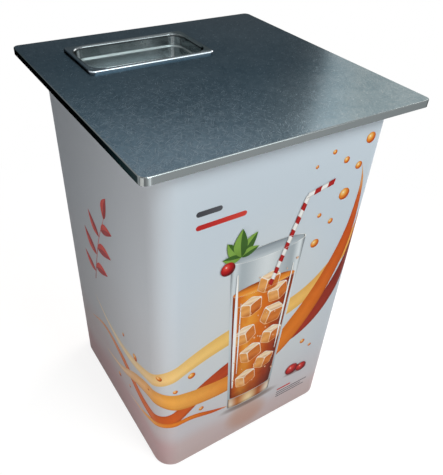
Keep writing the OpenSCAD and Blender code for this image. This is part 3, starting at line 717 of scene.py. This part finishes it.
class Motif:
    """Printed shapes in one ink. Each shape lies `step` layers over the one before it."""

    def __init__(self, name, layer, step=1, **look):
        self.name = "print_" + name
        self.material = ink(name, **look)
        self.layer = layer
        self.step = step
        self.bm = bmesh.new()
        self.uv = self.bm.loops.layers.uv.new("UVMap")

    def face(self, points, coords):
        out = LAYER * self.layer
        verts = [self.bm.verts.new((s, z, out)) for s, z in points]
        for loop, coord in zip(self.bm.faces.new(verts).loops, coords):
            loop[self.uv].uv = coord

    def next_shape(self):
        self.layer += self.step

    def shape(self, points, tone=None):
        """A filled outline: its UVs span its box, or hold one tone across it."""
        low_s, high_s = min(p[0] for p in points), max(p[0] for p in points)
        low_z, high_z = min(p[1] for p in points), max(p[1] for p in points)
        coords = []
        for s, z in points:
            u = (s - low_s) / (high_s - low_s) if tone is None else tone
            coords.append((u, (z - low_z) / (high_z - low_z)))
        self.face(points, coords)
        self.next_shape()

    def disc(self, s, z, radius, squash=1.0):
        """A filled disc, with its UVs centred on it."""
        points, coords = [], []
        for k in range(DISC_SIDES):
            a = 2 * pi * k / DISC_SIDES
            points.append((s + radius * cos(a), z + radius * squash * sin(a)))
            coords.append((0.5 + 0.5 * cos(a), 0.5 + 0.5 * sin(a)))
        self.face(points, coords)
        self.next_shape()

    def band(self, left, right):
        """A strip of quads between two rails: u runs along it and v across it."""
        last = len(left) - 1
        for k in range(last):
            quad = [left[k], left[k + 1], right[k + 1], right[k]]
            self.face(quad, [(k / last, 1), ((k + 1) / last, 1), ((k + 1) / last, 0), (k / last, 0)])
        self.next_shape()

    def finish(self):
        """Bends the shapes round the body and makes the piece."""
        bm = self.bm
        bmesh.ops.remove_doubles(bm, verts=bm.verts, dist=SAME_POINT)
        bmesh.ops.triangulate(bm, faces=bm.faces, ngon_method="EAR_CLIP")
        for side in (-1, 1):
            for k in range(BEND_CUTS + 1):
                at = side * (FLAT_X + ARC * k / BEND_CUTS)
                parts = bm.verts[:] + bm.edges[:] + bm.faces[:]
                bmesh.ops.bisect_plane(
                    bm, geom=parts, dist=SAME_POINT, plane_co=(at, 0, 0), plane_no=(1, 0, 0),
                )
        for vert in bm.verts:
            vert.co = on_body(*vert.co)
        bmesh.ops.recalc_face_normals(bm, faces=bm.faces)
        mesh = bpy.data.meshes.new(self.name)
        bm.normal_update()
        for poly in bm.faces:
            middle = poly.calc_center_median()
            if poly.normal.dot(Vector((middle.x, middle.y, 0))) < 0:
                poly.normal_flip()
            poly.smooth = True
        bm.to_mesh(mesh)
        bm.free()
        mesh.materials.append(self.material)
        piece = bpy.data.objects.new(self.name, mesh)
        bpy.context.scene.collection.objects.link(piece)
        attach(piece, "carcass")


def spline(points, steps):
    """Smooth run through tuples of numbers."""
    run = []
    last = len(points) - 1
    for k in range(last):
        p0, p1 = points[max(k - 1, 0)], points[k]
        p2, p3 = points[k + 1], points[min(k + 2, last)]
        for i in range(steps + (k == last - 1)):
            t = i / steps
            run.append(tuple(
                0.5 * (2 * b + (c - a) * t + (2 * a - 5 * b + 4 * c - d) * t * t
                       + (3 * b - a - 3 * c + d) * t ** 3)
                for a, b, c, d in zip(p0, p1, p2, p3)
            ))
    return run


# Least width of a ribbon, at its tips
TIP_WIDTH = 0.0002


def rails(run):
    """The two edges of a ribbon along a run of (s, z, width)."""
    left, right = [], []
    for k, (s, z, width) in enumerate(run):
        before, after = run[max(k - 1, 0)], run[min(k + 1, len(run) - 1)]
        ds, dz = after[0] - before[0], after[1] - before[1]
        size = hypot(ds, dz) or 1
        ns, nz = -dz / size, ds / size
        half = max(width, TIP_WIDTH) / 2
        left.append((s + ns * half, z + nz * half))
        right.append((s - ns * half, z - nz * half))
    return left, right


def glass_w(z):
    """Half width of the tumbler at a height."""
    low, high = GLASS_Z
    return GLASS_W[0] + (GLASS_W[1] - GLASS_W[0]) * (z - low) / (high - low)


def ellipse(z, half, start, end, count=28):
    """Arc of the tumbler's level ellipse at a height, between two angles in degrees."""
    run = []
    for k in range(count + 1):
        a = radians(start + (end - start) * k / count)
        run.append((GLASS_S + half * cos(a), z + FLAT * half * sin(a)))
    return run


def on_glass(x, z, half):
    """Point on the round front of the glass, at a share x of its half width."""
    return GLASS_S + half * x, z - FLAT * half * sqrt(max(0.0, 1 - x * x))


def glass_wall(motif, z_low, z_high, inset, rows=10, columns=16):
    """Front wall of the round glass between two heights, as a grid with u across and v up."""
    grid = []
    for j in range(rows + 1):
        z = z_low + (z_high - z_low) * j / rows
        shares = [-cos(pi * i / columns) for i in range(columns + 1)]
        grid.append([on_glass(x, z, glass_w(z) - inset) for x in shares])
    for j in range(rows):
        for i in range(columns):
            corners = ((i, j), (i + 1, j), (i + 1, j + 1), (i, j + 1))
            motif.face([grid[b][a] for a, b in corners], [(a / columns, b / rows) for a, b in corners])
    motif.next_shape()


# Runs of the ribbons as (s, z, width), and the points along each of their stretches
GOLD_RUN = (
    (-0.7, 0.395, 0.0), (-0.6, 0.345, 0.016), (-0.48, 0.335, 0.03), (-0.36, 0.375, 0.036),
    (-0.24, 0.445, 0.05), (-0.1, 0.49, 0.06), (0.05, 0.5, 0.06), (0.16, 0.545, 0.052),
    (0.245, 0.64, 0.04), (0.3, 0.76, 0.022), (0.325, 0.88, 0.0),
)
RED_RUN = (
    (-0.76, 0.255, 0.0), (-0.64, 0.3, 0.014), (-0.52, 0.275, 0.03), (-0.4, 0.22, 0.04),
    (-0.28, 0.235, 0.048), (-0.17, 0.32, 0.056), (-0.03, 0.385, 0.05), (0.1, 0.38, 0.056),
    (0.19, 0.435, 0.052), (0.25, 0.545, 0.036), (0.275, 0.67, 0.016), (0.27, 0.76, 0.0),
)
AMBER_RUN = (
    (-0.66, 0.19, 0.0), (-0.54, 0.215, 0.02), (-0.42, 0.285, 0.042), (-0.31, 0.325, 0.058),
    (-0.2, 0.3, 0.07), (-0.08, 0.295, 0.07), (0.05, 0.345, 0.075), (0.14, 0.445, 0.07),
    (0.205, 0.565, 0.052), (0.245, 0.7, 0.03), (0.25, 0.83, 0.01), (0.235, 0.9, 0.0),
)
AMBER_CURL = (
    (-0.5, 0.135, 0.0), (-0.4, 0.16, 0.012), (-0.31, 0.205, 0.018), (-0.22, 0.215, 0.02),
    (-0.14, 0.19, 0.014), (-0.08, 0.175, 0.0),
)
RIBBON_STEPS = 12


def print_ribbon(name, layer, across, shade, *runs):
    """One ribbon, in an ink that changes along and across it."""
    ribbon = Motif("ribbon_" + name, layer, across=across, shade=shade, flow=0.03)
    for run in runs:
        ribbon.band(*rails(spline(run, RIBBON_STEPS)))
    ribbon.finish()


def print_ribbons():
    """Three ribbons that cross behind the glass and run on round the corner."""
    print_ribbon(
        "gold", 1, ((0.0, 253, 240, 215), (0.5, 250, 204, 118), (1.0, 238, 160, 60)),
        ((0.0, 0.88, 0.82, 0.74), (0.4, 1, 1, 1), (1.0, 0.9, 0.86, 0.8)), GOLD_RUN,
    )
    print_ribbon(
        "red", 3, (
            (0.0, 246, 196, 150), (0.25, 224, 108, 40), (0.6, 176, 50, 24), (0.9, 120, 30, 18),
            (1.0, 205, 96, 50),
        ),
        ((0.0, 0.7, 0.6, 0.55), (0.3, 1, 1, 1), (0.8, 0.95, 0.92, 0.9), (1.0, 0.75, 0.66, 0.6)),
        RED_RUN,
    )
    print_ribbon(
        "amber", 5, (
            (0.0, 252, 232, 205), (0.3, 247, 176, 84), (0.55, 232, 128, 34), (0.85, 206, 84, 22),
            (1.0, 245, 190, 120),
        ),
        ((0.0, 0.72, 0.6, 0.5), (0.18, 0.92, 0.88, 0.85), (0.5, 1, 1, 1), (1.0, 0.86, 0.8, 0.74)),
        AMBER_RUN, AMBER_CURL,
    )


# The thick foot of the glass: its inset, and the gaps below and above it
FOOT_IN = 0.002
FOOT_GAPS = (0.003, 0.001)

# Highlights down the glass: share of its half width, heights between, and greatest width
HIGHLIGHTS = ((-0.82, (0.26, 0.7), 0.0105), (-0.68, (0.32, 0.6), 0.004), (0.8, (0.36, 0.67), 0.006))


def highlight(x, reach, width, steps=14):
    """Run of a light down the glass that tapers to both ends."""
    run = []
    for k in range(steps + 1):
        z = reach[0] + (reach[1] - reach[0]) * k / steps
        swell = sin(pi * (0.04 + 0.92 * k / steps)) ** 0.6
        run.append((GLASS_S + x * glass_w(z), z, width * swell))
    return run


def print_glass():
    """The tumbler's wall and inside, and over the drink its lit brim, waterline and highlights."""
    low, high = GLASS_Z
    back = Motif("glass_back", 8, across=(
        (0.0, 118, 124, 130), (0.06, 214, 220, 225), (0.16, 176, 184, 190), (0.5, 222, 226, 229),
        (0.84, 170, 178, 184), (0.94, 225, 230, 234), (1.0, 108, 114, 120),
    ), shade=((0.0, 0.8, 0.78, 0.76), (0.12, 1, 1, 1), (1.0, 1, 1, 1)))
    back.shape(ellipse(low, glass_w(low), 180, 360) + ellipse(high, glass_w(high), 0, 180))
    back.finish()
    rim = Motif("glass_rim", 10, up=((0.0, 200, 207, 212), (0.5, 168, 176, 183), (1.0, 132, 140, 147)))
    rim.shape(ellipse(high, glass_w(high) - GLASS_WALL / 2, 0, 360, 48)[:-1])
    rim.finish()
    lip = Motif("glass_lip", 42, up=((0.0, 244, 226, 204), (0.4, 255, 255, 255), (1.0, 250, 252, 255)))
    brim, drink = glass_w(high), glass_w(LIQUID_Z[1]) - GLASS_WALL
    for z, half, width, start, end in (
        (high, brim, 0.0028, -2, 182), (high, brim, 0.0034, 178, 362),
        (LIQUID_Z[1], drink, 0.0012, 188, 352),
    ):
        lip.band(ellipse(z, half, start, end, 40), ellipse(z, half - width, start, end, 40))
    for light in HIGHLIGHTS:
        lip.band(*rails(highlight(*light)))
    lip.finish()


def print_liquid():
    """The drink's surface and body, and the foot of the glass below it."""
    low, high = LIQUID_Z
    surface = Motif("liquid_surface", 14, up=(
        (0.0, 250, 186, 92), (0.45, 236, 140, 46), (1.0, 150, 62, 18),
    ), flow=0.06)
    surface.shape(ellipse(high, glass_w(high) - GLASS_WALL, 0, 360, 48)[:-1])
    surface.finish()
    drink = Motif("liquid", 16, across=(
        (0.0, 70, 22, 8), (0.07, 150, 56, 14), (0.2, 214, 104, 22), (0.36, 243, 160, 58),
        (0.52, 222, 112, 26), (0.72, 168, 62, 16), (0.9, 112, 34, 10), (0.96, 196, 92, 30),
        (1.0, 66, 20, 8),
    ), shade=(
        (0.0, 0.42, 0.3, 0.24), (0.16, 0.75, 0.62, 0.55), (0.5, 0.95, 0.92, 0.9), (1.0, 1, 1, 1),
    ), flow=0.045)
    glass_wall(drink, low, high, GLASS_WALL)
    drink.finish()
    foot = Motif("glass_foot", 18, across=(
        (0.0, 96, 60, 40), (0.15, 236, 214, 190), (0.32, 196, 120, 60), (0.5, 247, 218, 170),
        (0.66, 176, 92, 40), (0.85, 238, 222, 204), (1.0, 90, 62, 48),
    ), shade=((0.0, 0.62, 0.6, 0.6), (0.35, 1, 1, 1), (1.0, 0.85, 0.75, 0.68)))
    glass_wall(foot, GLASS_Z[0] + FOOT_GAPS[0], low - FOOT_GAPS[1], FOOT_IN, 3)
    foot.finish()


def soft_corners(points, share=0.16, steps=4):
    """The same outline with its corners rounded off."""
    run = []
    for k, (x, y) in enumerate(points):
        (ax, ay), (bx, by) = points[k - 1], points[(k + 1) % len(points)]
        for i in range(steps + 1):
            t = i / steps
            into, out = share * (1 - t) ** 2, share * t * t
            run.append((x + into * (ax - x) + out * (bx - x), y + into * (ay - y) + out * (by - y)))
    return run


def drawn_in(points, share):
    """The same outline shrunk towards its middle."""
    mx, my = (sum(p[k] for p in points) / len(points) for k in (0, 1))
    return [(mx + (x - mx) * (1 - share), my + (y - my) * (1 - share)) for x, y in points]


# Ice cubes from the lowest up: place across the glass, height, size, and degrees of turn and lean
ICE_CUBES = (
    (-0.034, 0.24, 0.05, 40, 8), (0.02, 0.29, 0.047, 56, -14), (-0.03, 0.345, 0.052, 30, 12),
    (0.032, 0.392, 0.048, 48, -6), (-0.044, 0.435, 0.05, 52, 14), (0.008, 0.478, 0.052, 34, -16),
    (-0.046, 0.536, 0.048, 44, 4), (0.044, 0.556, 0.046, 50, 14), (-0.01, 0.602, 0.048, 38, -8),
)

# A cube's height and its width to the left over its width to the right, and how steep it is seen
CUBE_HIGH = 0.9
CUBE_LEFT = 0.9
CUBE_STEEP = 0.42


def ice_cube(frost, ice, s, z, size, turn, lean):
    """One leaning cube seen from above its corner: pale rounded edges round three darker faces."""
    a, b = radians(turn), radians(lean)
    up = (0.0, CUBE_HIGH * size)
    right = (size * cos(a), CUBE_STEEP * size * sin(a))
    left = (-CUBE_LEFT * size * sin(a), CUBE_STEEP * size * cos(a))

    def at(*parts):
        x, y = sum(p[0] for p in parts), sum(p[1] for p in parts)
        return s + x * cos(b) - y * sin(b), z + x * sin(b) + y * cos(b)

    outline = [at(), at(right), at(right, up), at(right, left, up), at(left, up), at(left)]
    frost.shape(soft_corners(outline))
    for face, tone in (
        ([at(), at(right), at(right, up), at(up)], 0.2),
        ([at(left), at(), at(up), at(left, up)], 0.5),
        ([at(up), at(right, up), at(right, left, up), at(left, up)], 0.85),
    ):
        ice.shape(soft_corners(drawn_in(face, 0.08), 0.2), tone)
    ice.layer += frost.step


def print_ice():
    """The cubes in the drink: each cube's faces share a layer, over its edges."""
    frost = Motif("ice_edges", 20, step=2, up=(
        (0.0, 238, 182, 128), (0.5, 254, 234, 210), (1.0, 255, 252, 248),
    ))
    ice = Motif("ice", 21, step=0, across=(
        (0.0, 190, 92, 34), (0.22, 218, 126, 54), (0.5, 240, 172, 98), (0.8, 254, 228, 194),
        (1.0, 255, 248, 238),
    ), shade=(
        (0.0, 0.76, 0.56, 0.44), (0.45, 1, 0.96, 0.92), (0.75, 0.9, 0.8, 0.7), (1.0, 1, 1, 1),
    ), flow=0.12)
    for place in ICE_CUBES:
        ice_cube(frost, ice, *place)
    frost.finish()
    ice.finish()


# Droplets: how many, their heights, their shares of the glass's half width, their radii and shape
DROPS = 26
DROP_Z = (0.26, 0.69)
DROP_X = (-0.9, 0.9)
DROP_R = (0.0018, 0.0036)
DROP_TALL = 1.2


def print_droplets():
    """Droplets on the outside of the glass, a little taller than wide, all on one layer."""
    drops = Motif("droplets", 49, step=0, spot=(0.36, 0.68), rings=(
        (0.0, 255, 255, 255), (0.16, 250, 226, 196), (0.4, 206, 120, 58), (0.62, 246, 200, 150),
    ))
    rng = random.Random(11)
    for _ in range(DROPS):
        z = rng.uniform(*DROP_Z)
        x = rng.uniform(*DROP_X)
        drops.disc(*on_glass(x, z, glass_w(z)), rng.uniform(*DROP_R), DROP_TALL)
    drops.finish()


# Straw: its foot, bend and end, its half width, the slant of its stripes, and their two tones
STRAW_FOOT = Vector((GLASS_S + 0.018, LIQUID_Z[1] - 0.008))
STRAW_BEND = Vector((GLASS_S + 0.092, 0.862))
STRAW_END = Vector((GLASS_S + 0.168, 0.878))
STRAW_HALF = 0.0072
STRAW_SLANT = 0.006
STRIPES = (0.1, 0.9)


def print_straw():
    """A striped straw that stands in the drink and bends above the brim."""
    straw = Motif("straw", 39, across=(
        (0.0, 176, 30, 30), (0.4, 206, 44, 40), (0.6, 244, 240, 236), (1.0, 252, 250, 248),
    ), shade=((0.0, 0.62, 0.6, 0.6), (0.35, 1, 1, 1), (0.7, 0.96, 0.96, 0.96), (1.0, 0.7, 0.68, 0.68)))
    for a, b, count, first in ((STRAW_FOOT, STRAW_BEND, 14, 0), (STRAW_BEND, STRAW_END, 4, 1)):
        along = (b - a).normalized()
        side = Vector((-along.y, along.x)) * STRAW_HALF
        slant = along * STRAW_SLANT
        for k in range(count):
            p = a + (b - a) * k / count
            q = a + (b - a) * (k + 1) / count
            tone = STRIPES[(k + first) % 2]
            quad = [p + side, p - side - slant, q - side - slant, q + side]
            straw.face(quad, [(tone, 1), (tone, 0), (tone, 0), (tone, 1)])
        straw.next_shape()
    straw.finish()


def leaf(motif, s, z, angle, length, width, bend, steps=14):
    """A pointed leaf with a lighter and a darker half about its curved midrib."""
    a = radians(angle)
    mid, upper, lower = [], [], []
    for k in range(steps + 1):
        t = k / steps
        half = 0.5 * width * sin(pi * t ** 0.85) ** 0.9 * (1 - 0.15 * t)
        y = bend * length * sin(pi * t) * 0.5
        for run, off in ((mid, 0.0), (upper, half), (lower, -half)):
            px, py = t * length, y + off
            across, rise = px * cos(a) - py * sin(a), px * sin(a) + py * cos(a)
            run.append((s + across, z + rise))
    for run, tone in ((upper, 0.8), (lower, 0.2)):
        for k in range(steps):
            corners = [(mid, k), (mid, k + 1), (run, k + 1), (run, k)]
            if k == 0:
                corners.pop(3)
            elif k == steps - 1:
                corners.pop(2)
            motif.face([line[i] for line, i in corners], [(tone, i / steps) for _, i in corners])
    motif.next_shape()


# The sprig's stem as (s, z, width), and its leaves: point on the stem, angle and length
STEM_RUN = (
    (-0.672, 0.475, 0.0042), (-0.645, 0.56, 0.0036), (-0.607, 0.66, 0.003), (-0.556, 0.755, 0.0014),
)
STEM_STEPS = 10
SPRIG_LEAVES = (
    (5, 152, 0.078), (7, 18, 0.088), (13, 144, 0.09), (16, 14, 0.092),
    (21, 138, 0.08), (24, 22, 0.078), (30, 70, 0.078),
)

# Where the mint's leaves meet, and their angles and lengths
MINT_KNOT = (GLASS_S - 0.082, GLASS_Z[1] + 0.008)
MINT_LEAVES = ((128, 0.066), (56, 0.07), (170, 0.052), (18, 0.05), (92, 0.08))


def print_sprigs():
    """A red leaf sprig on the left flank, and mint at the brim of the glass."""
    sprig = Motif("sprig", 2, across=(
        (0.0, 150, 26, 34), (0.35, 168, 32, 38), (0.65, 212, 62, 56), (1.0, 226, 92, 78),
    ), shade=((0.0, 0.75, 0.7, 0.7), (0.5, 1, 1, 1), (1.0, 1, 0.92, 0.88)))
    stem = spline(STEM_RUN, STEM_STEPS)
    sprig.band(*rails(stem))
    for at, angle, length in SPRIG_LEAVES:
        s, z, _ = stem[at]
        leaf(sprig, s, z, angle, length, width=0.42 * length, bend=0.18)
    sprig.finish()
    mint = Motif("mint", 51, across=(
        (0.0, 52, 84, 34), (0.35, 66, 104, 42), (0.65, 118, 156, 66), (1.0, 146, 182, 88),
    ), shade=((0.0, 0.7, 0.75, 0.6), (0.5, 1, 1, 1), (1.0, 1, 1, 0.85)))
    for angle, length in MINT_LEAVES:
        leaf(mint, *MINT_KNOT, angle, length, width=0.5 * length, bend=0.1)
    mint.finish()


# Bubbles and berries as (s, z, radius)
BUBBLES = (
    (0.132, 0.705, 0.013), (0.17, 0.76, 0.008), (0.196, 0.83, 0.016), (0.128, 0.79, 0.0065),
    (0.222, 0.9, 0.01), (0.178, 0.925, 0.0085), (0.24, 0.965, 0.0135), (0.135, 0.955, 0.006),
    (0.09, 0.93, 0.0045), (-0.215, 0.405, 0.011), (-0.262, 0.365, 0.007), (-0.305, 0.415, 0.009),
    (-0.355, 0.325, 0.0065), (-0.43, 0.375, 0.012), (-0.5, 0.4, 0.006), (-0.18, 0.235, 0.008),
    (-0.56, 0.16, 0.009), (-0.485, 0.185, 0.006), (0.17, 0.32, 0.009), (0.205, 0.285, 0.006),
)
BERRIES = (
    (GLASS_S - 0.116, GLASS_Z[1] - 0.014, 0.0195), (0.15, 0.202, 0.024), (0.189, 0.192, 0.02),
)


def print_bubbles():
    """Amber bubbles along the ribbons, all on one layer, and berries at the brim and the foot."""
    bubbles = Motif("bubbles", 12, step=0, spot=(0.36, 0.66), rings=(
        (0.0, 255, 246, 226), (0.12, 250, 200, 116), (0.38, 232, 132, 40), (0.62, 178, 66, 20),
    ))
    for place in BUBBLES:
        bubbles.disc(*place)
    bubbles.finish()
    berries = Motif("berries", 57, spot=(0.36, 0.68), rings=(
        (0.0, 255, 226, 220), (0.1, 222, 70, 60), (0.35, 176, 24, 28), (0.62, 92, 10, 16),
    ))
    for place in BERRIES:
        berries.disc(*place)
    berries.finish()


# Plain bars as (s, z, length, height)
GREY_BARS = (
    (0.105, 0.108, 0.125, 0.004), (0.105, 0.097, 0.102, 0.004), (0.105, 0.086, 0.116, 0.004),
    (-0.215, 0.905, 0.062, 0.013),
)
RED_BARS = ((0.105, 0.122, 0.055, 0.007), (-0.215, 0.872, 0.125, 0.013))


def rounded_bar(s, z, length, height, steps=8):
    """Outline of a level bar with round ends, from its left end at (s, z)."""
    r = height / 2
    points = []
    for centre, start in ((s + length - r, -90), (s + r, 90)):
        for k in range(steps + 1):
            a = radians(start + 180 * k / steps)
            points.append((centre + r * cos(a), z + r * sin(a)))
    return points


def print_bars():
    """Bars in two inks, each ink on one layer."""
    for name, stops, places in (
        ("bars_grey", ((0.0, 66, 66, 72), (1.0, 84, 84, 90)), GREY_BARS),
        ("bars_red", ((0.0, 186, 40, 40), (1.0, 208, 64, 54)), RED_BARS),
    ):
        bars = Motif(name, 2, step=0, across=stops)
        for place in places:
            bars.shape(rounded_bar(*place))
        bars.finish()


# Floor: its size, its own light, and where it begins and ends to fade to pure white, in metres
FLOOR_SIZE = 30
FLOOR_LIFT = 0.84
FLOOR_FADE = (0.55, 1.7)


def make_floor():
    """Pale floor that shows white to the camera, to metal and to glass, and keeps the shadow."""
    bpy.ops.mesh.primitive_plane_add(size=FLOOR_SIZE)
    floor = bpy.context.object
    floor.name = "floor"
    s = Shader("floor_white", (0.2, 0.2, 0.2), 0.95)
    rays = s.node("LightPath").outputs
    seen = s.maths("MAXIMUM", rays["Is Camera Ray"], rays["Is Glossy Ray"])
    seen = s.maths("MAXIMUM", seen, rays["Is Transmission Ray"])
    plain = s.bsdf.outputs[0]
    lifted = s.node("AddShader")
    s.link(plain, lifted.inputs[0])
    s.link(s.glow(FLOOR_LIFT), lifted.inputs[1])
    out = s.vector("LENGTH", s.place(), result="Value")
    far = s.span(out, *FLOOR_FADE, easing="SMOOTHSTEP")
    shown = s.blend(far, lifted.outputs[0], s.glow(1.0))
    s.link(s.blend(seen, plain, shown), s.tree.nodes["Material Output"].inputs["Surface"])
    floor.data.materials.append(s.material)


make_camera()
make_world()
for lamp in LAMPS:
    soft_lamp(*lamp)
make_floor()
dress_frame()
print_ribbons()
print_glass()
print_liquid()
print_ice()
print_droplets()
print_straw()
print_sprigs()
print_bubbles()
print_bars()

bpy.context.scene.view_settings.view_transform = "Standard"
